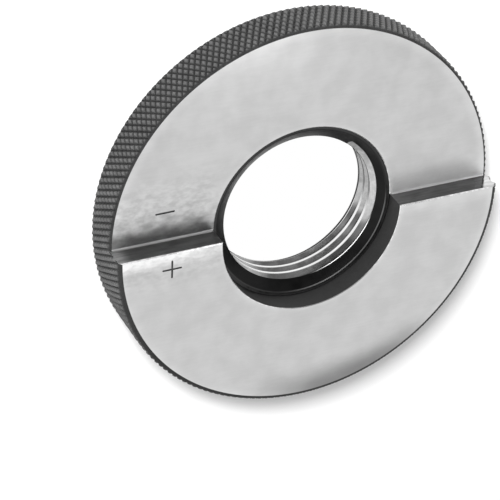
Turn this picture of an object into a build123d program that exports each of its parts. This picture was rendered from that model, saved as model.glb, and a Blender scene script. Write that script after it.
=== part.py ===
"""Taper thread ring gauge: one turned, milled and threaded steel ring, lying on its back face.

The axis of the ring is Z, the back face is at Z = 0 and the stepped gauging face is on top.
The step runs along X through the axis: the half at -Y is proud, the half at +Y is recessed.
A workpiece is screwed in from the back, where the taper is widest.
"""

import os
from math import atan, degrees, radians, tan

from build123d import *

# Ring, millimetres
outer_diameter = 76.0
thickness = 13.0
back_chamfer = 0.9
front_chamfer = 1.15

# Gauging step: how far the recessed half lies below the proud half
step_height = 4.4
step_wall_offset = 0.2  # the milled wall stands this far past the axis
step_foot_radius = 0.35
step_brink_break = 0.15
recess_chamfer = 0.75

# Relief bore at the small end of the thread, and the countersink at its floor
relief_diameter = 35.3
relief_depth_below_recess = 0.2
relief_ledge = 0.65
countersink_angle = 100.0

# Internal taper thread: eleven threads to the inch, 55 degree form, taper one in sixteen
thread_pitch = 25.4 / 11
thread_angle = 55.0
thread_depth = 1.3
crest_diameter_at_back = 29.9
taper = 1 / 16
root_flat = 0.3
lead_in_chamfer = 0.5
thread_start_depth = 1.3  # from the relief bore's floor to the middle of the groove's blunt start
thread_start_angle = 53.0  # where the groove starts, measured round the axis from the step
groove_overcut = 0.3  # how far the thread cutter reaches inward past the crests
groove_overrun = 0.4  # and how far it runs out past the back face

# Worked out from the sizes above
outer_radius = outer_diameter / 2
recess_level = thickness - step_height
relief_radius = relief_diameter / 2
relief_floor = recess_level - relief_depth_below_recess
ledge_radius = relief_radius - relief_ledge
half_taper = degrees(atan(taper / 2))
countersink_slope = tan(radians(90 - countersink_angle / 2))
flank_slope = tan(radians(thread_angle / 2))
thread_mouth = root_flat + 2 * thread_depth * flank_slope
cutter_mouth = thread_mouth + 2 * groove_overcut * flank_slope
groove_bottom = -thread_mouth / 2 - groove_overrun
groove_height = relief_floor - thread_start_depth - groove_bottom
groove_turn = 360 * groove_height / thread_pitch


def crest_radius(height):
    """Radius of the thread's crests at a height above the back face."""
    return (crest_diameter_at_back - taper * height) / 2


root_radius = crest_radius(groove_bottom) + thread_depth

with BuildPart() as threaded_blank:
    # Turned blank with its relief bore and tapered bore
    with BuildSketch(Plane.XZ) as section:
        with BuildLine():
            Polyline(
                (crest_radius(lead_in_chamfer) + lead_in_chamfer, 0),
                (outer_radius - back_chamfer, 0),
                (outer_radius, back_chamfer),
                (outer_radius, thickness - front_chamfer),
                (outer_radius - front_chamfer, thickness),
                (relief_radius, thickness),
                (relief_radius, relief_floor),
                (crest_radius(relief_floor), relief_floor),
                (crest_radius(lead_in_chamfer), lead_in_chamfer),
                close=True,
            )
        make_face()
    revolve(axis=Axis.Z)

    # Thread groove, cut along a tapered right-hand helix from past the back face to the blunt start
    with BuildLine() as groove_path:
        Helix(
            pitch=thread_pitch,
            height=groove_height,
            radius=root_radius,
            center=(0, 0, groove_bottom),
            cone_angle=-half_taper,
        )
    with BuildSketch(Plane.XZ) as groove:
        with Locations((root_radius, groove_bottom)):
            Trapezoid(
                width=cutter_mouth,
                height=thread_depth + groove_overcut,
                left_side_angle=90 - thread_angle / 2,
                rotation=-90,
                align=(Align.CENTER, Align.MAX),
            )
    sweep(path=groove_path.line, is_frenet=True, mode=Mode.SUBTRACT)

    # Countersink from the ledge of the relief bore into the first threads
    with BuildSketch(Plane.XZ) as countersink:
        with BuildLine():
            Polyline(
                (0, relief_floor),
                (ledge_radius, relief_floor),
                (0, relief_floor - countersink_slope * ledge_radius),
                close=True,
            )
        make_face()
    revolve(axis=Axis.Z, mode=Mode.SUBTRACT)

with BuildPart() as gauge_ring:
    # The blank is turned until the thread starts at its own angle to the step
    add(threaded_blank.part, rotation=(0, 0, thread_start_angle - groove_turn))

    # Half of the face milled down, with the cutter's radius left at the foot of the wall
    with BuildSketch(Plane.YZ) as recess:
        with BuildLine():
            Polyline(
                (outer_radius, recess_level),
                (step_wall_offset, recess_level),
                (step_wall_offset, thickness),
                (outer_radius, thickness),
                close=True,
            )
        make_face()
        fillet(recess.vertices().group_by(Axis.Y)[0].sort_by(Axis.X)[0], step_foot_radius)
    extrude(amount=outer_radius, both=True, mode=Mode.SUBTRACT)

    # Edges broken after milling: the rim of the recessed half and the brink of the wall
    recessed_face = gauge_ring.faces().filter_by(Axis.Z).group_by(Axis.Z)[-2].sort_by(Axis.Y)[-1]
    recess_rim = recessed_face.edges().filter_by(GeomType.CIRCLE).sort_by(SortBy.LENGTH)[-1]
    chamfer(recess_rim, recess_chamfer)
    proud_face = gauge_ring.faces().filter_by(Axis.Z).sort_by(Axis.Z)[-1]
    chamfer(proud_face.edges().filter_by(Axis.X), step_brink_break)

gauge_ring.part.label = "gauge_ring"
os.makedirs("parts", exist_ok=True)
export_step(gauge_ring.part, "parts/gauge_ring.step")
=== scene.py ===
from math import cos, pi, radians, sin, tan

import bmesh
import bpy
from mathutils import Matrix, Vector


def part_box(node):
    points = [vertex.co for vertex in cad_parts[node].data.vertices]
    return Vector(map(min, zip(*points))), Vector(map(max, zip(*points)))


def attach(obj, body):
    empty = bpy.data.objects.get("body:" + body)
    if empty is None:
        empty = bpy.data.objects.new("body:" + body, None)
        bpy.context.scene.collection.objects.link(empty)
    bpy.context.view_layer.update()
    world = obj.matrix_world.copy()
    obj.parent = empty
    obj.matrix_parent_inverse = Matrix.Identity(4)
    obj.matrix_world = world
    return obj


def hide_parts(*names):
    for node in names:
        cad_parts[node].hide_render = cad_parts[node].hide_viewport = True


bl_info = {
    "name": "Taper Thread Ring Gauge",
    "version": (1, 0, 0),
    "blender": (4, 5, 0),
    "location": "3D View > Sidebar > Ring Gauge",
    "description": "Makes a knurled taper thread ring gauge with a stepped gauging face",
    "category": "Add Mesh",
}

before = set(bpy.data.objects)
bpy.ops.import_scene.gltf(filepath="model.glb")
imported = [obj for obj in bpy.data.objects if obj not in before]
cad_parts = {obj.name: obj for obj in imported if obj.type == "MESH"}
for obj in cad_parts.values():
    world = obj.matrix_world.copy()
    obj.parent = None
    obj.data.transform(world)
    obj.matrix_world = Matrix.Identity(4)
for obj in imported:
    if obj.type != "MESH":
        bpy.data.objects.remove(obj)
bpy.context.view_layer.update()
_, RING_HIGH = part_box("gauge_ring")
OUTER_RADIUS = RING_HIGH.x
THICKNESS = RING_HIGH.z
MM = 0.001
CLEAR = 0.6 * MM  # how far a cutter stands out past the metal that it cuts
THREAD_ROOT = 0.16 * MM  # half the width of the thread groove at its root
RIM_SEGMENTS = 708  # steps round a cutter that shapes the rim
BORE_SEGMENTS = 288  # and round the one that shapes the crests of the thread

# How the rim rounds into a face, as steps of (in from the rim, in from the face)
BACK_ROUNDING = ((0.8 * MM, 0), (0.42 * MM, 0.18 * MM), (0.14 * MM, 0.5 * MM), (0, 0.95 * MM))
FRONT_ROUNDING = (
    (0, 1.5 * MM), (0.05 * MM, 1.05 * MM), (0.15 * MM, 0.68 * MM), (0.33 * MM, 0.36 * MM),
    (0.66 * MM, 0.12 * MM),
)

# The finishes of the ring, in the order of its material slots
FINISHES = (
    "ground_face",
    "black_rim",
    "milled_wall",
    "relief_wall",
    "countersink",
    "thread_flank",
    "thread_crest",
    "face_mark",
    "back_face",
    "bright_edge",
    "foot_fillet",
    "worn_edge",
)


# ---------------------------------------------------------------------------
# Settings
# ---------------------------------------------------------------------------


def length(name, description, default):
    """A length property in metres."""
    return bpy.props.FloatProperty(
        name=name, description=description, default=default, unit="LENGTH", precision=5
    )


def centre(name, description, default):
    """The X and Y of a centre on one of the faces, in metres."""
    return bpy.props.FloatVectorProperty(
        name=name, description=description, default=default, size=2, unit="LENGTH", precision=5
    )


def angle(name, description, degrees_default):
    """An angle property, given in degrees and stored in radians."""
    return bpy.props.FloatProperty(
        name=name, description=description, default=radians(degrees_default), subtype="ANGLE"
    )


def grey(name, description, value):
    """A colour property that starts as a neutral grey."""
    return bpy.props.FloatVectorProperty(
        name=name, description=description, default=(value, value, value), subtype="COLOR",
        min=0, max=1,
    )


def share(name, description, default):
    """A plain factor from 0 to 1."""
    return bpy.props.FloatProperty(
        name=name, description=description, default=default, min=0, max=1, subtype="FACTOR"
    )


class RingSizes(bpy.types.PropertyGroup):
    """Sizes of the turned and milled body."""

    proud_edge: length(
        "Proud Edge Radius", "Radius of the proud face where its rim starts", 36.86 * MM
    )
    recess_edge: length(
        "Recess Edge Radius", "Radius of the recessed face where its chamfer starts", 37.28 * MM
    )
    recess_level: length("Recess Level", "Height of the recessed face", 8.6 * MM)
    wall_offset: length("Wall Offset", "Distance of the step's wall from the axis", 0.2 * MM)
    wall_foot: length("Foot Radius", "Fillet at the foot of the step's wall", 0.35 * MM)
    edge_break: length("Edge Break", "Width of the relief bore's broken edge", 0.12 * MM)
    relief_radius: length("Relief Radius", "Radius of the relief bore", 17.65 * MM)
    relief_level: length("Relief Level", "Height of the floor of the relief bore", 8.4 * MM)
    sink_radius: length("Countersink Radius", "Radius of the countersink at its top", 17.0 * MM)
    sink_slope: angle("Countersink Slope", "Slope of the countersink from the level", 40)


class KnurlSizes(bpy.types.PropertyGroup):
    """Sizes of the diamond knurl."""

    teeth: bpy.props.IntProperty(
        name="Teeth", description="Number of diamonds round the rim", default=177, min=12
    )
    helix: angle("Groove Angle", "Angle between the grooves and the axis", 29)
    depth: length("Depth", "Depth of the grooves", 0.58 * MM)


class ThreadSizes(bpy.types.PropertyGroup):
    """Sizes of the internal taper thread."""

    pitch: length("Pitch", "Distance from one thread to the next", 25.4 / 11 * MM)
    flank: angle("Included Angle", "Angle between the flanks", 55)
    depth: length("Depth", "Depth of the groove below the crests", 1.3 * MM)
    back_radius: length("Crest Radius", "Radius of the crests at the back face", 14.95 * MM)
    taper: share("Taper", "Change of diameter for each unit of length", 1 / 16)
    start: angle("Thread Start", "Where the groove starts bluntly, round from the step", 51)
    start_height: length(
        "Start Height", "Height of the middle of the groove where it starts", 7.10 * MM
    )
    lead_in: length("Back Chamfer", "Chamfer at the mouth in the back face", 0.5 * MM)


class MarkSizes(bpy.types.PropertyGroup):
    """Sizes and places of the minus and the plus cut in the gauging face."""

    span: length("Span", "Length of a stroke", 3.75 * MM)
    stroke: length("Stroke", "Width of a stroke", 0.36 * MM)
    depth: length("Depth", "Depth of a stroke", 0.12 * MM)
    minus: centre("Minus", "Centre of the minus on the recessed face", (-27.1 * MM, 6.0 * MM))
    plus: centre("Plus", "Centre of the plus on the proud face", (-27.4 * MM, -3.15 * MM))


class FinishColours(bpy.types.PropertyGroup):
    """Colours of the finishes."""

    ground: grey("Ground Faces", "Colour of the ground gauging faces", 0.60)
    black: grey("Black Rim", "Colour of the blackened knurl", 0.051)
    wall: grey("Milled Wall", "Colour of the wall of the step", 0.3)
    fillet: grey("Foot Fillet", "Colour of the fillet at the foot of the wall", 0.9)
    bore: grey("Relief Bore", "Colour of the relief bore", 0.055)
    thread: grey("Thread", "Colour of the lapped thread", 0.45)
    crest: grey("Thread Crests", "Colour of the bright crests of the thread", 0.92)
    edge: grey("Broken Edges", "Colour of the bare broken edges", 0.85)
    worn: grey("Worn Edges", "Colour of the worn edges of the blackened bore", 0.15)
    mark: grey("Marks", "Colour of the cut marks", 0.10)


class StageLook(bpy.types.PropertyGroup):
    """The studio."""

    floor: grey("Floor", "Colour of the floor", 0.9)
    floor_glow: share(
        "Floor Whiteness", "Share of the floor that stays white in its shadows", 0.2
    )
    bore_glow: length("Bore Whiteness", "Radius within which the floor is all white", 16 * MM)
    sky: bpy.props.FloatProperty(
        name="Sky", description="Strength of the even light on dull surfaces", default=0.3, min=0
    )
    key: bpy.props.FloatProperty(
        name="Key Power", description="Power of the key light", default=9.0, min=0, unit="POWER"
    )
    top: bpy.props.FloatProperty(
        name="Top Power", description="Power of the overhead panel", default=0.25, min=0,
        unit="POWER",
    )


SETTINGS = {
    "ring_gauge_body": RingSizes,
    "ring_gauge_knurl": KnurlSizes,
    "ring_gauge_thread": ThreadSizes,
    "ring_gauge_marks": MarkSizes,
    "ring_gauge_colours": FinishColours,
    "ring_gauge_stage": StageLook,
}


# ---------------------------------------------------------------------------
# Mesh making
# ---------------------------------------------------------------------------


def new_object(name, vertices, faces, finishes):
    """A smooth mesh object with the ring's material slots; finishes names each face's finish."""
    mesh = bpy.data.meshes.new(name)
    mesh.from_pydata(vertices, [], faces)
    mesh.update()
    for finish in FINISHES:
        mesh.materials.append(bpy.data.materials[finish])
    slots = [FINISHES.index(finish) for finish in finishes]
    mesh.polygons.foreach_set("material_index", slots)
    mesh.polygons.foreach_set("use_smooth", [True] * len(faces))
    made = bpy.data.objects.new(name, mesh)
    bpy.context.scene.collection.objects.link(made)
    return made


def outward(made):
    """Turns every face of a closed mesh outward."""
    work = bmesh.new()
    work.from_mesh(made.data)
    bmesh.ops.recalc_face_normals(work, faces=work.faces)
    work.to_mesh(made.data)
    work.free()
    return made


def lathe(name, profile, finishes, segments=360):
    """Turns a closed profile of (radius, height) points round the axis.

    A point on the axis becomes a single vertex. finishes names the finish of the edge that
    starts at each point.
    """
    vertices = []
    rings = []
    for radius, height in profile:
        if radius <= 0:
            rings.append([len(vertices)] * segments)
            vertices.append((0, 0, height))
            continue
        rings.append(list(range(len(vertices), len(vertices) + segments)))
        for step in range(segments):
            turn = 2 * pi * step / segments
            vertices.append((radius * cos(turn), radius * sin(turn), height))
    faces = []
    names = []
    for here, there, finish in zip(rings, rings[1:] + rings[:1], finishes):
        for step in range(segments):
            after = (step + 1) % segments
            corners = (here[step], there[step], there[after], here[after])
            unique = list(dict.fromkeys(corners))
            if len(unique) > 2:
                faces.append(unique)
                names.append(finish)
    return outward(new_object(name, vertices, faces, names))


def tube(name, sections, finishes):
    """A closed solid through a row of like sections, each a list of points, capped at both ends.

    finishes names the finish of the face that starts at each point of a section.
    """
    count = len(sections[0])
    vertices = [point for section in sections for point in section]
    faces = []
    for near in range(0, len(vertices) - count, count):
        far = near + count
        for column in range(count):
            after = (column + 1) % count
            faces.append((near + column, near + after, far + after, far + column))
    names = finishes * (len(sections) - 1) + [finishes[0]] * 2
    faces.append(tuple(reversed(range(count))))
    faces.append(tuple(range(len(vertices) - count, len(vertices))))
    return outward(new_object(name, vertices, faces, names))


def combine(target, tool, operation):
    """Cuts tool out of target or keeps their overlap, and deletes tool."""
    modifier = target.modifiers.new(operation.lower(), "BOOLEAN")
    modifier.operation = operation
    modifier.solver = "MANIFOLD"
    modifier.object = tool
    view = bpy.context.evaluated_depsgraph_get()
    result = bpy.data.meshes.new_from_object(target.evaluated_get(view))
    if not result.polygons:
        raise RuntimeError(f"{tool.name} left nothing of {target.name}")
    old = target.data
    target.modifiers.clear()
    target.data = result
    bpy.data.meshes.remove(old)
    spent = tool.data
    bpy.data.objects.remove(tool)
    bpy.data.meshes.remove(spent)
    return target


def over_recess(cutter, sizes):
    """Keeps the part of a cutter that lies over the recessed half of the ring."""
    reach = OUTER_RADIUS + 10 * CLEAR
    top = THICKNESS + 10 * CLEAR
    near = sizes.wall_offset
    corners = [(x, y, z) for x in (-reach, reach) for y in (near, reach) for z in (-CLEAR, top)]
    quads = [(0, 1, 3, 2), (4, 6, 7, 5), (0, 4, 5, 1), (2, 3, 7, 6), (0, 2, 6, 4), (1, 5, 7, 3)]
    half = outward(new_object("half", corners, quads, ["milled_wall"] * len(quads)))
    return combine(cutter, half, "INTERSECT")


# ---------------------------------------------------------------------------
# The ring
# ---------------------------------------------------------------------------


def knurled_bar(knurl):
    """A length of bar with the diamond knurl rolled into it, longer than the ring is thick.

    The bar is a grid of points round and along it, and the grooves run across it on diagonals.
    """
    half_tooth = 4  # grid steps from the middle of a groove to the crest beside it
    fall = (1.0, 0.70, 0.37, 0.11, 0.0)  # share of the groove's depth at those steps
    period = 2 * half_tooth
    columns = knurl.teeth * period
    tooth = 2 * pi * OUTER_RADIUS / knurl.teeth
    row_height = tooth / tan(knurl.helix) / period
    rows = int((THICKNESS + 4 * CLEAR) / row_height) + 1
    vertices = []
    for row in range(rows + 1):
        height = -2 * CLEAR + row * row_height
        for column in range(columns):
            left = (column + row) % period
            right = (column - row) % period
            depth = max(fall[min(left, period - left)], fall[min(right, period - right)])
            radius = OUTER_RADIUS - knurl.depth * depth
            turn = 2 * pi * column / columns
            vertices.append((radius * cos(turn), radius * sin(turn), height))
    faces = []
    for row in range(rows):
        for column in range(columns):
            after = (column + 1) % columns
            low_left = row * columns + column
            low_right = row * columns + after
            high_left = low_left + columns
            high_right = low_right + columns
            # Each square is split along the groove that crosses it
            if ((column + row) // half_tooth + (column - row) // half_tooth) % 2:
                faces.append((low_left, low_right, high_left))
                faces.append((low_right, high_right, high_left))
            else:
                faces.append((low_left, low_right, high_right))
                faces.append((low_left, high_right, high_left))
    faces.append(tuple(reversed(range(columns))))
    faces.append(tuple(range(rows * columns, (rows + 1) * columns)))
    return new_object("gauge_ring_body", vertices, faces, ["black_rim"] * len(faces))


def turned_disc(sizes):
    """The disc that the bar is turned to: flat ends and a soft rounded rim."""
    outside = OUTER_RADIUS + 2 * CLEAR
    back = [(OUTER_RADIUS - inward, height) for inward, height in BACK_ROUNDING]
    front = [(OUTER_RADIUS - inward, THICKNESS - below) for inward, below in FRONT_ROUNDING]
    profile = [
        (0, 0),
        *back,
        (outside, 1.3 * MM),
        (outside, THICKNESS - 1.8 * MM),
        *front,
        (sizes.proud_edge, THICKNESS),
        (0, THICKNESS),
    ]
    profile.reverse()
    finishes = ["ground_face"] + ["black_rim"] * (len(profile) - 3) + ["back_face", "back_face"]
    return lathe("disc", profile, finishes, RIM_SEGMENTS)


def crest_radius(thread, height):
    """Radius of the thread's crests at a height above the back face."""
    return thread.back_radius - thread.taper * height / 2


def bore_cutter(thread, sizes):
    """The tapered hole inside the crests of the thread, with the chamfer at its mouth."""
    mouth = crest_radius(thread, thread.lead_in) + thread.lead_in
    top = sizes.relief_level + CLEAR
    dark_end = thread.lead_in + 0.9 * MM  # the last crest before the back face isn't lapped
    profile = [
        (0, top),
        (crest_radius(thread, top), top),
        (crest_radius(thread, dark_end), dark_end),
        (crest_radius(thread, thread.lead_in), thread.lead_in),
        (mouth, 0),
        (mouth + CLEAR, -CLEAR),
        (0, -CLEAR),
    ]
    finishes = ["thread_crest"] * 2 + ["relief_wall"] * 5
    return lathe("bore", profile, finishes, BORE_SEGMENTS)


def countersink_cutter(sizes):
    """The cone that leads from the relief bore's floor down to the first thread."""
    floor = sizes.relief_level
    radius = sizes.sink_radius
    slope = tan(sizes.sink_slope)
    brink = 0.12 * MM
    profile = [
        (0, floor + CLEAR),
        (radius + brink, floor + CLEAR),
        (radius + brink, floor),
        (radius, floor - 0.35 * brink),
        (radius - brink, floor - brink * slope - 0.02 * brink),
        (0, floor - radius * slope),
    ]
    return lathe("countersink", profile, ["worn_edge"] * 4 + ["countersink"] * 2)


def relief_cutter(sizes):
    """The relief bore down to its ledge, with a small fillet in the corner."""
    radius = sizes.relief_radius
    floor = sizes.relief_level
    corner = 0.12 * MM
    profile = [
        (0, THICKNESS + CLEAR),
        (radius + sizes.edge_break + CLEAR, THICKNESS + CLEAR),
        (radius + sizes.edge_break, THICKNESS),
        (radius, THICKNESS - sizes.edge_break),
        (radius, floor + corner),
        (radius - 0.3 * corner, floor + 0.3 * corner),
        (radius - corner, floor),
        (0, floor),
    ]
    return lathe("relief", profile, ["bright_edge"] * 3 + ["relief_wall"] * 5)


def groove_section(thread):
    """Section of the thread groove as (outward, along) points, with soft root and crest edges."""
    slope = tan(thread.flank / 2)
    soft = 0.10 * MM
    depth = thread.depth
    mouth = THREAD_ROOT + depth * slope
    half = [
        (depth + 0.02 * MM, 0),
        (depth, THREAD_ROOT * 0.7),
        (depth - soft, THREAD_ROOT + soft * slope),
        (soft, mouth - soft * slope),
        (0.03 * MM, mouth + 0.01 * MM),
        (0, mouth + 0.07 * MM),
        (-0.01 * MM, mouth + 0.13 * MM),
        (-CLEAR, mouth + 0.16 * MM),
    ]
    return half + [(reach, -along) for reach, along in reversed(half[1:])]


def groove_cutter(thread):
    """The thread groove: its section carried down a tapered helix from the blunt start."""
    section = groove_section(thread)
    steps_per_turn = 216
    lowest = -1.3 * MM  # where the cutter has run out past the back face
    withdrawal = 1.1 * MM  # how far it is drawn in to the axis where the groove starts
    withdrawal_turn = radians(1.7)  # and the turn over which it is drawn in
    turns = (thread.start_height - lowest) / thread.pitch
    steps = int(turns * steps_per_turn) + 1
    extra = int(withdrawal_turn / (2 * pi) * steps_per_turn)
    sections = []
    for step in range(-extra, steps + 1):
        turn = thread.start - 2 * pi * step / steps_per_turn
        height = thread.start_height - thread.pitch * step / steps_per_turn
        radius = crest_radius(thread, height)
        if step < 0:
            radius -= withdrawal * (step / extra) ** 2
        sections.append(
            [
                ((radius + reach) * cos(turn), (radius + reach) * sin(turn), height + along)
                for reach, along in section
            ]
        )
    flank = ["thread_flank"] * 3
    return tube("groove", sections, flank + ["thread_crest"] * (len(section) - 6) + flank)


def recess_cutter(sizes):
    """The milled recess as a prism along the step: floor, foot fillet, wall and broken brink."""
    reach = OUTER_RADIUS + 5 * CLEAR
    top = THICKNESS + 0.4 * CLEAR
    level = sizes.recess_level
    wall = sizes.wall_offset
    foot = sizes.wall_foot
    foot_steps = 6
    brink = 0.1 * MM
    section = [(reach, level, "ground_face")]
    for step in range(foot_steps + 1):
        turn = pi / 2 * step / foot_steps
        y = wall + foot - foot * sin(turn)
        z = level + foot - foot * cos(turn)
        section.append((y, z, "foot_fillet" if step < foot_steps else "milled_wall"))
    section += [
        (wall, THICKNESS - 1.6 * brink, "bright_edge"),
        (wall - 0.6 * brink, THICKNESS - 0.7 * brink, "bright_edge"),
        (wall - 2.5 * brink, THICKNESS, "bright_edge"),
        (wall - 2.5 * brink - CLEAR, top, "milled_wall"),
        (reach, top, "milled_wall"),
    ]
    ends = [[(x, y, z) for y, z, _ in section] for x in (-reach, reach)]
    return tube("recess", ends, [finish for _, _, finish in section])


def recess_rim_cutter(sizes):
    """The chamfer round the rim of the recessed half."""
    edge = sizes.recess_edge
    level = sizes.recess_level
    soft = 0.1 * MM
    outside = OUTER_RADIUS + CLEAR
    profile = [
        (edge - 3 * soft, level + CLEAR),
        (edge - 0.8 * soft, level),
        (edge + 0.6 * soft, level - 0.5 * soft),
        (OUTER_RADIUS - 0.22 * MM, level - 0.38 * MM),
        (OUTER_RADIUS, level - 0.8 * MM),
        (outside, level - 1.2 * MM),
        (outside, level + CLEAR),
    ]
    cutter = lathe("recess_rim", profile, ["black_rim"] * len(profile), RIM_SEGMENTS)
    return over_recess(cutter, sizes)


def recess_bore_cutter(sizes):
    """The broken edge of the relief bore in the recessed half."""
    radius = sizes.relief_radius
    inside = radius - 1 * MM
    level = sizes.recess_level
    brink = 0.1 * MM
    profile = [
        (inside, level - brink),
        (radius, level - brink),
        (radius + brink, level),
        (radius + brink + CLEAR, level + CLEAR),
        (inside, level + CLEAR),
    ]
    cutter = lathe("recess_bore", profile, ["bright_edge"] * len(profile))
    return over_recess(cutter, sizes)


def stroke_cutter(marks, middle, level, width, height):
    """A straight stroke of a face mark, cut with a round-nosed tool."""
    nose = marks.stroke / 2
    x, y = middle
    nose_steps = 6
    outline = []
    for quarter, (sx, sy) in enumerate(((1, 1), (-1, 1), (-1, -1), (1, -1))):
        for step in range(nose_steps + 1):
            turn = pi / 2 * (quarter + step / nose_steps)
            outline.append(
                (
                    x + sx * (width / 2 - nose) + nose * cos(turn),
                    y + sy * (height / 2 - nose) + nose * sin(turn),
                )
            )
    sections = [[(px, py, z) for px, py in outline] for z in (level - marks.depth, level + CLEAR)]
    return tube("mark", sections, ["face_mark"] * len(outline))


class MESH_OT_ring_gauge_body(bpy.types.Operator):
    """Make the ring: knurl the bar, turn it, thread it, mill the step and cut the marks"""

    bl_idname = "mesh.ring_gauge_body"
    bl_label = "Gauge Ring"

    def execute(self, context):
        scene = context.scene
        sizes = scene.ring_gauge_body
        thread = scene.ring_gauge_thread
        marks = scene.ring_gauge_marks
        long, wide = marks.span, marks.stroke
        make_finishes(scene.ring_gauge_colours, thread)

        ring = knurled_bar(scene.ring_gauge_knurl)
        combine(ring, turned_disc(sizes), "INTERSECT")
        cutters = (
            bore_cutter(thread, sizes),
            groove_cutter(thread),
            countersink_cutter(sizes),
            relief_cutter(sizes),
            recess_cutter(sizes),
            recess_rim_cutter(sizes),
            recess_bore_cutter(sizes),
            stroke_cutter(marks, marks.minus, sizes.recess_level, long, wide),
            stroke_cutter(marks, marks.plus, THICKNESS, long, wide),
            stroke_cutter(marks, marks.plus, THICKNESS, wide, long),
        )
        for cutter in cutters:
            combine(ring, cutter, "DIFFERENCE")

        ring.data.set_sharp_from_angle(angle=radians(32))
        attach(ring, "root")
        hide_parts("gauge_ring")
        return {"FINISHED"}


# ---------------------------------------------------------------------------
# Finishes
# ---------------------------------------------------------------------------


def node(tree, kind, wires=None, values=None, **settings):
    """Adds a node, wires its inputs from (node, output) pairs and sets its plain values."""
    made = tree.nodes.new(kind)
    for key, value in settings.items():
        setattr(made, key, value)
    for socket, value in (values or {}).items():
        made.inputs[socket].default_value = value
    for socket, (source, output) in (wires or {}).items():
        tree.links.new(source.outputs[output], made.inputs[socket])
    return made


# From here to the class Finish, each function gives a (node, output) pair and takes such pairs,
# or numbers, as its operands


def calculate(tree, operation, *operands):
    """The result of a Math node."""
    wires = {i: operand for i, operand in enumerate(operands) if isinstance(operand, tuple)}
    values = {i: operand for i, operand in enumerate(operands) if not isinstance(operand, tuple)}
    return node(tree, "ShaderNodeMath", wires, values, operation=operation), 0


def add(tree, *operands):
    """The sum of two operands."""
    return calculate(tree, "ADD", *operands)


def times(tree, first, *others):
    """The product of all operands."""
    for other in others:
        first = calculate(tree, "MULTIPLY", first, other)
    return first


def larger(tree, *operands):
    """The larger of two operands."""
    return calculate(tree, "MAXIMUM", *operands)


def without(tree, taken):
    """What is left of 1 when a share is taken from it."""
    return calculate(tree, "SUBTRACT", 1.0, taken)


def within(tree, source, low, high, at_low=0.0, at_high=1.0):
    """Goes smoothly from at_low, where source is low, to at_high."""
    ramp = node(
        tree, "ShaderNodeMapRange", {"Value": source},
        {"From Min": low, "From Max": high, "To Min": at_low, "To Max": at_high},
        interpolation_type="SMOOTHSTEP",
    )
    return ramp, "Result"


def band(tree, source, rise, fall):
    """1 in a band of source that it comes into over rise and leaves over fall, and 0 outside."""
    return times(tree, within(tree, source, *rise), within(tree, source, *fall, 1.0, 0.0))


def grain(tree, place, size, detail=2.0, stretch=(1, 1, 1)):
    """Noise whose features measure about size; stretch draws them out along each axis."""
    drawn = node(
        tree, "ShaderNodeMapping", {"Vector": place},
        {"Scale": [1 / (size * factor) for factor in stretch]},
    )
    made = node(
        tree, "ShaderNodeTexNoise", {"Vector": (drawn, 0)}, {"Scale": 1.0, "Detail": detail}
    )
    return made, "Fac"


def spread(tree, noise, low, high):
    """Takes the middle range of a noise, where nearly all of it lies, to low and high."""
    return within(tree, noise, 0.3, 0.7, low, high)


class Finish:
    """A metal finish in the making: its node tree, its shader and the places on the ring."""

    def __init__(self, name, colour, roughness, metallic=1.0):
        material = bpy.data.materials.new(name)
        material.use_nodes = True
        self.tree = material.node_tree
        self.shader = self.tree.nodes["Principled BSDF"]
        self.colour = colour
        self.shader.inputs["Base Color"].default_value = (*colour, 1)
        self.shader.inputs["Roughness"].default_value = roughness
        self.shader.inputs["Metallic"].default_value = metallic
        coordinates = node(self.tree, "ShaderNodeTexCoord")
        self.place = (coordinates, "Object")
        axes = node(self.tree, "ShaderNodeSeparateXYZ", {0: self.place})
        self.x, self.y, self.z = ((axes, axis) for axis in "XYZ")
        flat = node(self.tree, "ShaderNodeCombineXYZ", {"X": self.x, "Y": self.y})
        self.radius = (
            node(self.tree, "ShaderNodeVectorMath", {0: (flat, 0)}, operation="LENGTH"), "Value"
        )

    def vary(self, socket, level):
        """Makes one of the shader's sockets vary with a level."""
        source, output = level
        self.tree.links.new(source.outputs[output], self.shader.inputs[socket])

    def tone(self, level):
        """Makes the colour lighter or darker by a varying level around 1."""
        scaled = node(
            self.tree, "ShaderNodeVectorMath", {"Scale": level}, {0: self.colour}, operation="SCALE"
        )
        self.vary("Base Color", (scaled, 0))

    def relief(self, height, depth):
        """Raises the surface by up to depth where height is 1."""
        bump = node(self.tree, "ShaderNodeBump", {"Height": height}, {"Distance": depth})
        self.vary("Normal", (bump, 0))

    def tool_marks(self, along, spacing):
        """Even tool marks that follow one another along a coordinate, at a spacing."""
        phase = times(self.tree, along, 2 * pi / spacing)
        return within(self.tree, calculate(self.tree, "SINE", phase), -1, 1)


def recessed(finish):
    """1 on the recessed half of the face, and 0 on the proud half."""
    return within(finish.tree, finish.y, 0.0, 0.1 * MM)


def handled(finish):
    """Tone of the steel round the marks, which handling has mottled."""
    tree = finish.tree
    mottle = spread(tree, grain(tree, finish.place, 0.9 * MM, 4, (1.6, 1, 1)), -0.12, 0.12)
    left = within(tree, finish.x, -20 * MM, -14 * MM, 1.0, 0.0)
    beside_step = band(tree, finish.y, (-10 * MM, 1 * MM), (7 * MM, 16 * MM))
    return add(tree, 1.0, times(tree, mottle, times(tree, left, beside_step)))


def burnish_and_brink_highlight(finish):
    """Tone of the steel beside its edges, polished by use, and a painted highlight at the brink."""
    tree = finish.tree
    outer = within(tree, finish.radius, 35.2 * MM, 37 * MM)
    inner = within(tree, finish.radius, 17.6 * MM, 18.8 * MM, 1.0, 0.0)
    # Painted highlight: the proud face lighter just below the brink, most of all on the left
    brink = band(tree, finish.y, (-3.2 * MM, -0.2 * MM), (0.0, 0.1 * MM))
    brink = times(tree, brink, within(tree, finish.x, -30 * MM, -12 * MM, 1.0, 0.25))
    rims = times(tree, larger(tree, outer, inner), 0.10)
    return add(tree, add(tree, rims, times(tree, brink, 0.6)), 1.0)


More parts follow.
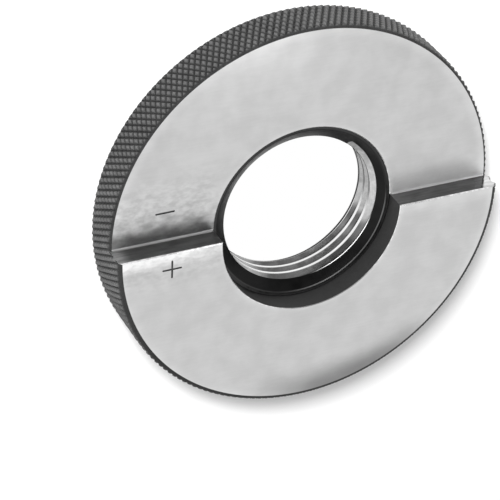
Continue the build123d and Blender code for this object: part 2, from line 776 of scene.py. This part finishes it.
def corner_shade_and_smudge(finish):
    """Tone of the corner under the wall: painted shade, with oil and dust, most of all at the
    marks.
    """
    tree = finish.tree
    ragged = grain(tree, finish.place, 2.2 * MM, 4, (1.6, 1, 1))
    corner = add(tree, finish.y, within(tree, ragged, 0.35, 0.65, -1.2 * MM, 1.2 * MM))
    # Painted shade at the foot of the wall, together with the oil and dust there
    shade_and_smudge = within(tree, corner, 0.2 * MM, 9.0 * MM, 1.0, 0.0)
    marked = within(tree, finish.x, -14 * MM, -4 * MM, 0.55, 0.0)
    return without(tree, times(tree, times(tree, shade_and_smudge, shade_and_smudge), recessed(finish), marked))


def outer_edge_shade(finish):
    """Tone of the outermost edge of the proud half, with painted shade in one place."""
    tree = finish.tree
    # Painted shade: the proud face darker towards its outer edge in this one place
    rim = within(tree, finish.radius, 30 * MM, 37 * MM, 0.0, 0.62)
    where = times(
        tree, within(tree, finish.x, -16 * MM, 6 * MM),
        within(tree, finish.y, -34 * MM, -24 * MM, 1.0, 0.0),
    )
    return without(tree, times(tree, rim, where))


def lit_matt_foot(finish):
    """1 at the foot of the wall beyond the bore, which is matt from the wheel and painted lighter.
    """
    tree = finish.tree
    beyond = within(tree, finish.x, 6 * MM, 16 * MM)
    foot = within(tree, finish.y, 0.2 * MM, 6 * MM, 1.0, 0.0)
    return times(tree, beyond, foot, recessed(finish))


def ground_finish(colours):
    """Surface-ground gauging faces: clouded, streaked and worn steel, with painted light and shade.
    """
    finish = Finish("ground_face", colours.ground, 0.3)
    tree = finish.tree
    cloud = grain(tree, finish.place, 4.5 * MM, 3)
    streak = grain(tree, finish.place, 0.35 * MM, 3, (9, 1, 1))
    speck = grain(tree, finish.place, 0.5 * MM, 2)
    # Painted light: the foot beyond the bore is made lighter, and also matt
    lightened = lit_matt_foot(finish)
    # The tone carries a painted highlight at the brink and painted shade in the corner and at the
    # outer edge
    finish.tone(
        times(
            tree, spread(tree, cloud, 0.955, 1.045), spread(tree, streak, 0.985, 1.015),
            handled(finish), burnish_and_brink_highlight(finish), corner_shade_and_smudge(finish), outer_edge_shade(finish),
            add(tree, times(tree, lightened, 0.4), 1.0),
        )
    )
    matt = times(tree, lightened, 0.35)
    finish.vary("Roughness", add(tree, spread(tree, speck, 0.31, 0.37), matt))
    finish.relief(streak, 0.004 * MM)


def rim_finish(colours):
    """Blackened knurl, worn to grey steel on the tips of the diamonds, with painted shade on one
    side.
    """
    finish = Finish("black_rim", colours.black, 0.5, metallic=0.0)
    finish.shader.inputs["Specular IOR Level"].default_value = 0.22
    tree = finish.tree
    blotch = grain(tree, finish.place, 3 * MM, 3)
    fine = grain(tree, finish.place, 0.25 * MM, 3)
    tips = within(tree, finish.radius, 37.52 * MM, 37.86 * MM, 0.47, 1.6)
    # Painted shade: the rim darker on the proud side, which faces away from the light
    shaded_side = within(tree, finish.y, -28 * MM, -4 * MM, 0.5, 1.0)
    finish.tone(
        times(
            tree, tips, spread(tree, blotch, 0.88, 1.12), shaded_side,
            spread(tree, fine, 0.85, 1.15),
        )
    )
    finish.vary("Roughness", spread(tree, fine, 0.45, 0.6))
    finish.relief(fine, 0.015 * MM)


def wall_finish(colours):
    """The wall of the step, with the marks of the milling cutter along it, and painted light and
    shade.
    """
    finish = Finish("milled_wall", colours.wall, 0.35)
    tree = finish.tree
    feed = grain(tree, finish.place, 0.22 * MM, 3, (30, 1, 1))
    blotch = grain(tree, finish.place, 1.4 * MM, 3, (2.5, 1, 1))
    level = times(tree, spread(tree, feed, 0.85, 1.15), spread(tree, blotch, 0.86, 1.14))
    from_axis = calculate(tree, "ABSOLUTE", finish.x)
    beside_bore = within(tree, from_axis, 17 * MM, 22 * MM, 1.3, 1.0)
    # Painted highlight at the left end of the wall
    left_end_highlight = within(tree, finish.x, -37.3 * MM, -34.5 * MM, 3.0, 1.0)

    # Painted shade beyond the bore, up to a painted highlight on the corner and a painted dark
    # outline at its end
    right_shade = within(tree, finish.x, 6 * MM, 16 * MM, 1.0, 0.6)
    corner = add(tree, finish.x, times(tree, finish.z, 0.55))
    bright = within(tree, corner, 41.9 * MM, 42.3 * MM, 1.0, 3.2)
    slant = add(tree, finish.x, times(tree, finish.z, 0.9))
    outline = larger(
        tree, within(tree, finish.x, 37.6 * MM, 37.8 * MM),
        within(tree, slant, 48.5 * MM, 48.7 * MM),
    )
    right_end_light_and_shade = times(tree, bright, right_shade, without(tree, times(tree, outline, 0.7)))
    finish.tone(times(tree, level, beside_bore, times(tree, left_end_highlight, right_end_light_and_shade)))
    polish = within(tree, corner, 39.5 * MM, 41.9 * MM, 1.0, 0.3)
    finish.vary("Roughness", times(tree, spread(tree, feed, 0.3, 0.42), polish))
    finish.relief(feed, 0.01 * MM)


def blackened(name, colour):
    """Turned and blackened steel: the finish, and its level of tone."""
    finish = Finish(name, colour, 0.35)
    tree = finish.tree
    marks = finish.tool_marks(add(tree, finish.z, times(tree, finish.radius, 0.7)), 0.16 * MM)
    blotch = grain(tree, finish.place, 2.5 * MM, 3)
    finish.vary("Roughness", spread(tree, blotch, 0.3, 0.42))
    finish.relief(marks, 0.002 * MM)
    level = times(
        tree, within(tree, marks, 0, 1, 0.92, 1.08), spread(tree, blotch, 0.85, 1.15)
    )
    return finish, level


def relief_finish(colours):
    """The blackened relief bore with its ledge."""
    finish, level = blackened("relief_wall", [part * 0.9 for part in colours.bore])
    finish.tone(level)


def countersink_finish(colours, thread):
    """The blackened countersink: painted shade on the proud side and a painted highlight on one
    side of its lip.
    """
    finish, level = blackened("countersink", colours.bore)
    tree = finish.tree
    # Painted shade: the cone darker on the proud side
    level = times(tree, level, within(tree, finish.y, 6 * MM, 14 * MM, 0.38, 0.92))

    # The groove's upper flank cuts the cone along a helix: height is taken along the flank to
    # the axis, and down the helix back to where the thread starts
    slope = tan(thread.flank / 2)
    turn = calculate(tree, "ARCTAN2", finish.y, finish.x)
    fall = times(tree, turn, -thread.pitch / (2 * pi))
    height = add(tree, add(tree, finish.z, times(tree, finish.radius, slope)), fall)
    crest = crest_radius(thread, thread.start_height)
    groove = thread.start_height - thread.pitch * thread.start / (2 * pi)
    flank = groove + THREAD_ROOT + (thread.depth + crest) * slope
    # Painted highlight: a bright line along the lip, not metallic, on one side only
    lip = within(tree, height, flank + 0.1 * MM, flank + 0.2 * MM, 1.0, 0.0)
    side = times(
        tree, within(tree, finish.y, -7 * MM, -4 * MM, 1.0, 0.0),
        within(tree, finish.x, 2 * MM, 8 * MM),
    )
    lip = times(tree, lip, side)
    finish.tone(larger(tree, level, times(tree, lip, 16.0)))
    finish.vary("Metallic", without(tree, lip))


def thread_finish(colours):
    """Lapped thread flanks, with fine marks along the thread and painted light and shade on the
    turns.
    """
    finish = Finish("thread_flank", colours.thread, 0.2)
    tree = finish.tree
    lapping = grain(tree, finish.place, 0.09 * MM, 3, (60, 60, 1))
    blotch = grain(tree, finish.place, 1.6 * MM, 3)
    first_turn = within(tree, finish.z, 4.8 * MM, 5.2 * MM)
    beyond = within(tree, finish.y, -7.5 * MM, -4.5 * MM)
    # Painted light and shade: the flanks lighter in some places and darker elsewhere, with a
    # painted highlight on the first turn
    lit_part = add(tree, beyond, within(tree, finish.x, 2 * MM, 9 * MM, 0.45, 0.0))
    first_turn_light = times(tree, first_turn, add(tree, -0.5, lit_part))

    # Painted shade on a short stretch of the lower turns
    stretch = band(tree, finish.y, (-10.5 * MM, -7.5 * MM), (-6.4 * MM, -4.9 * MM))
    shade_patch = times(tree, stretch, within(tree, finish.z, 3.6 * MM, 5.0 * MM, -0.6, 0.0))
    finish.tone(
        times(
            tree, spread(tree, lapping, 0.95, 1.05), spread(tree, blotch, 0.8, 1.2),
            within(tree, lit_part, 0.0, 0.6, 0.75, 1.0), add(tree, 1.0, first_turn_light),
            add(tree, 1.0, shade_patch),
        )
    )
    matt = times(tree, first_turn, beyond, 0.2)
    finish.vary("Roughness", add(tree, spread(tree, blotch, 0.12, 0.22), matt))
    finish.relief(lapping, 0.0008 * MM)


def crest_finish(colours):
    """The lapped crests of the thread, with painted shade that darkens them towards the recessed
    side.
    """
    finish = Finish("thread_crest", colours.crest, 0.12)
    tree = finish.tree
    lapping = grain(tree, finish.place, 0.15 * MM, 3, (40, 40, 1))
    # Painted shade: the crests darker towards the recessed side
    lighter_side = within(tree, finish.y, -6 * MM, 1 * MM, 1.0, 0.2)
    finish.tone(times(tree, spread(tree, lapping, 0.9, 1.06), lighter_side))


def worn_finish(colours):
    """The brink of the countersink: blackened, and rubbed to steel on the proud side with a painted
    highlight there.
    """
    finish = Finish("worn_edge", colours.worn, 0.35)
    tree = finish.tree
    # Wear and a painted highlight: the brink lighter on the proud side and to the right
    lighter_side = times(
        tree, within(tree, finish.y, -4 * MM, 2 * MM, 1.0, 0.0),
        within(tree, finish.x, -5 * MM, 6 * MM, 0.15, 1.0),
    )
    finish.tone(add(tree, 0.2, lighter_side))


def back_finish(colours):
    """The back face, ground and then handled."""
    finish = Finish("back_face", colours.ground, 0.35)
    tree = finish.tree
    cloud = grain(tree, finish.place, 5 * MM, 3)
    streak = grain(tree, finish.place, 0.35 * MM, 3, (1, 9, 1))
    finish.tone(
        times(tree, spread(tree, cloud, 0.93, 1.05), spread(tree, streak, 0.97, 1.03))
    )
    finish.vary("Roughness", spread(tree, streak, 0.31, 0.4))
    finish.relief(streak, 0.005 * MM)


def fillet_finish(colours):
    """The fillet at the foot of the wall: plain steel, darker towards its left end, where the marks
    are.
    """
    finish = Finish("foot_fillet", colours.fillet, 0.46)
    tree = finish.tree
    feed = grain(tree, finish.place, 0.6 * MM, 3, (12, 1, 1))
    # Darker towards the left end of the fillet
    lightened = within(tree, finish.x, -17 * MM, 17 * MM, 0.62, 1.0)
    finish.tone(times(tree, within(tree, feed, 0.35, 0.6, 0.8, 1.05), lightened))


def edge_finish(name, colour, roughness):
    """A broken edge: bare steel with small nicks."""
    finish = Finish(name, colour, roughness)
    nicks = grain(finish.tree, finish.place, 0.6 * MM, 3)
    finish.tone(within(finish.tree, nicks, 0.35, 0.6, 0.75, 1.05))
    worn = within(finish.tree, nicks, 0.35, 0.6, roughness + 0.1, roughness)
    finish.vary("Roughness", worn)


def make_finishes(colours, thread):
    """Makes every finish of the ring."""
    ground_finish(colours)
    rim_finish(colours)
    wall_finish(colours)
    relief_finish(colours)
    countersink_finish(colours, thread)
    thread_finish(colours)
    back_finish(colours)
    edge_finish("bright_edge", colours.edge, 0.2)
    crest_finish(colours)
    fillet_finish(colours)
    worn_finish(colours)
    edge_finish("face_mark", colours.mark, 0.45)


# ---------------------------------------------------------------------------
# Stage
# ---------------------------------------------------------------------------


class SCENE_OT_ring_gauge_stage(bpy.types.Operator):
    """Make the studio: a pale floor, soft light and the camera"""

    bl_idname = "scene.ring_gauge_stage"
    bl_label = "Studio"

    def execute(self, context):
        scene = context.scene
        look = scene.ring_gauge_stage
        scene.view_settings.view_transform = "Standard"
        self.floor(look)
        self.sky(scene, look)
        self.lamps(scene, look)
        self.camera(scene)
        return {"FINISHED"}

    def floor(self, look):
        """A pale floor that stays partly white in shadow, and all white under the bore."""
        bpy.ops.mesh.primitive_plane_add(size=6)
        floor = bpy.context.active_object
        floor.name = "studio_floor"
        material = bpy.data.materials.new("studio_floor")
        material.use_nodes = True
        tree = material.node_tree
        paint = tree.nodes["Principled BSDF"]
        paint.inputs["Base Color"].default_value = (*look.floor, 1)
        paint.inputs["Roughness"].default_value = 0.9
        paint.inputs["Specular IOR Level"].default_value = 0
        glow = node(tree, "ShaderNodeEmission")
        path = node(tree, "ShaderNodeLightPath")
        place = node(tree, "ShaderNodeTexCoord")
        away = node(tree, "ShaderNodeVectorMath", {0: (place, "Object")}, operation="LENGTH")
        edge = look.bore_glow + 3 * MM
        glowing = within(tree, (away, "Value"), look.bore_glow, edge, 1.0, look.floor_glow)
        seen = larger(tree, (path, "Is Camera Ray"), (path, "Is Glossy Ray"))
        mixed = node(
            tree, "ShaderNodeMixShader",
            {0: times(tree, seen, glowing), 1: (paint, 0), 2: (glow, 0)},
        )
        tree.links.new(mixed.outputs[0], tree.nodes["Material Output"].inputs["Surface"])
        floor.data.materials.append(material)

    def sky(self, scene, look):
        """White all round, but for a soft dark patch high over the recessed half, for the steel."""
        dark_way = Vector((0.10, 0.55, 0.83)).normalized()
        dark_edge, dark_core = radians(52), radians(24)
        dark_level = 0.09
        world = bpy.data.worlds.new("studio_sky")
        world.use_nodes = True
        tree = world.node_tree
        place = node(tree, "ShaderNodeTexCoord")
        path = node(tree, "ShaderNodeLightPath")
        toward = node(
            tree, "ShaderNodeVectorMath", {0: (place, "Generated")}, {1: dark_way},
            operation="DOT_PRODUCT",
        )
        mirrored = within(
            tree, (toward, "Value"), cos(dark_edge), cos(dark_core), 1.0, dark_level
        )
        glossy = times(tree, (path, "Is Glossy Ray"), mirrored)
        bright = larger(tree, glossy, (path, "Is Camera Ray"))
        strength, output = larger(tree, bright, look.sky)
        sky = tree.nodes["Background"]
        sky.inputs["Color"].default_value = (1, 1, 1, 1)
        tree.links.new(strength.outputs[output], sky.inputs["Strength"])
        scene.world = world

    def lamps(self, scene, look):
        """The key only throws the shadow; the panel overhead is what the steel mirrors."""
        key = self.lamp(scene, "key", look.key, 0.14, (-0.30, 0.468, 0.488))
        key.visible_glossy = False
        panel = self.lamp(scene, "top", look.top, 0.32, (0.05, 0.07, 0.47))
        panel.data.shape = "RECTANGLE"
        panel.data.size_y = 0.14

    def lamp(self, scene, name, power, size, place):
        """A square soft light that looks at the ring."""
        light = bpy.data.lights.new(name, "AREA")
        light.energy = power
        light.size = size
        lamp = bpy.data.objects.new(name, light)
        lamp.location = place
        lamp.rotation_euler = (-Vector(place)).to_track_quat("-Z", "Y").to_euler()
        scene.collection.objects.link(lamp)
        return lamp

    def camera(self, scene):
        """Set well back with a long lens; the recessed half is at the top of the picture."""
        place = Vector((-0.17596, 0.24498, 0.36157))
        azimuth, elevation, roll = 0.43890, 0.57130, 0.03950
        data = bpy.data.cameras.new("camera")
        data.lens = 183.94
        data.sensor_width = 36
        camera = bpy.data.objects.new("camera", data)
        back = Vector(
            (-sin(azimuth) * cos(elevation), sin(elevation), cos(azimuth) * cos(elevation))
        )
        level = Vector((0, 1, 0)).cross(back).normalized()
        upright = back.cross(level)
        across = cos(roll) * level + sin(roll) * upright
        upward = -sin(roll) * level + cos(roll) * upright
        turn = Matrix((across, upward, back)).transposed().to_4x4()
        camera.matrix_world = Matrix.Translation(place) @ turn
        scene.collection.objects.link(camera)
        scene.camera = camera


class VIEW3D_PT_ring_gauge(bpy.types.Panel):
    """Lists the makers of the ring gauge and their settings"""

    bl_label = "Ring Gauge"
    bl_space_type = "VIEW_3D"
    bl_region_type = "UI"
    bl_category = "Ring Gauge"

    def draw(self, context):
        layout = self.layout
        layout.operator(MESH_OT_ring_gauge_body.bl_idname)
        layout.operator(SCENE_OT_ring_gauge_stage.bl_idname)
        for name, group in SETTINGS.items():
            box = layout.box()
            for field in group.__annotations__:
                box.prop(getattr(context.scene, name), field)


CLASSES = (MESH_OT_ring_gauge_body, SCENE_OT_ring_gauge_stage, VIEW3D_PT_ring_gauge)


def register():
    """Adds the settings, the operators and the panel."""
    for name, group in SETTINGS.items():
        bpy.utils.register_class(group)
        setattr(bpy.types.Scene, name, bpy.props.PointerProperty(type=group))
    for entry in CLASSES:
        bpy.utils.register_class(entry)


def unregister():
    """Takes away what register added."""
    for entry in reversed(CLASSES):
        bpy.utils.unregister_class(entry)
    for name, group in SETTINGS.items():
        delattr(bpy.types.Scene, name)
        bpy.utils.unregister_class(group)


def main():
    """Makes the ring and its studio."""
    register()
    bpy.ops.mesh.ring_gauge_body()
    bpy.ops.scene.ring_gauge_stage()


if __name__ == "__main__":
    main()
